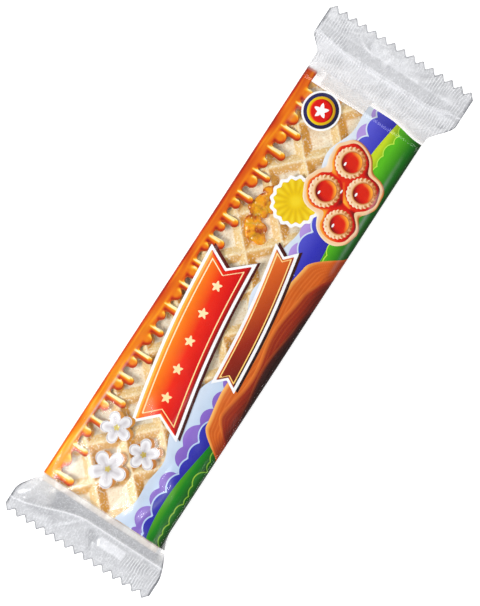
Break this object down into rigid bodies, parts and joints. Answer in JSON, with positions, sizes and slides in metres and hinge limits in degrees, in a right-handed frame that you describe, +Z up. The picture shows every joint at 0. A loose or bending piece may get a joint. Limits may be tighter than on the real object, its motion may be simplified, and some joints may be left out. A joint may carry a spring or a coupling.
{
  "type": "nougat block in wrapper",
  "caption": "Long flat nougat and wafer block in a clear, partly printed flow-wrap film pack with flat saw-toothed end seals, lying face up.",
  "frame": {"origin": "middle of the pack's box, on the surface that it lies on", "axes": "+X along the pack, towards the end with the wider bare film (the picture's upper right), +Y across it, +Z up out of the printed face"},
  "size_m": [0.1632, 0.0466, 0.0084],
  "materials": {
    "film": "thin glossy clear film, with matt crimped ends",
    "print": "glossy ink on the film's inner side",
    "wafer": "dry baked wafer, matt and finely pitted",
    "nougat": "soft chewy nougat, satin",
    "caramel": "sticky amber caramel, glossy"
  },
  "bodies": {
    "root": {"film_pack": "film"}
  },
  "joints": []
}
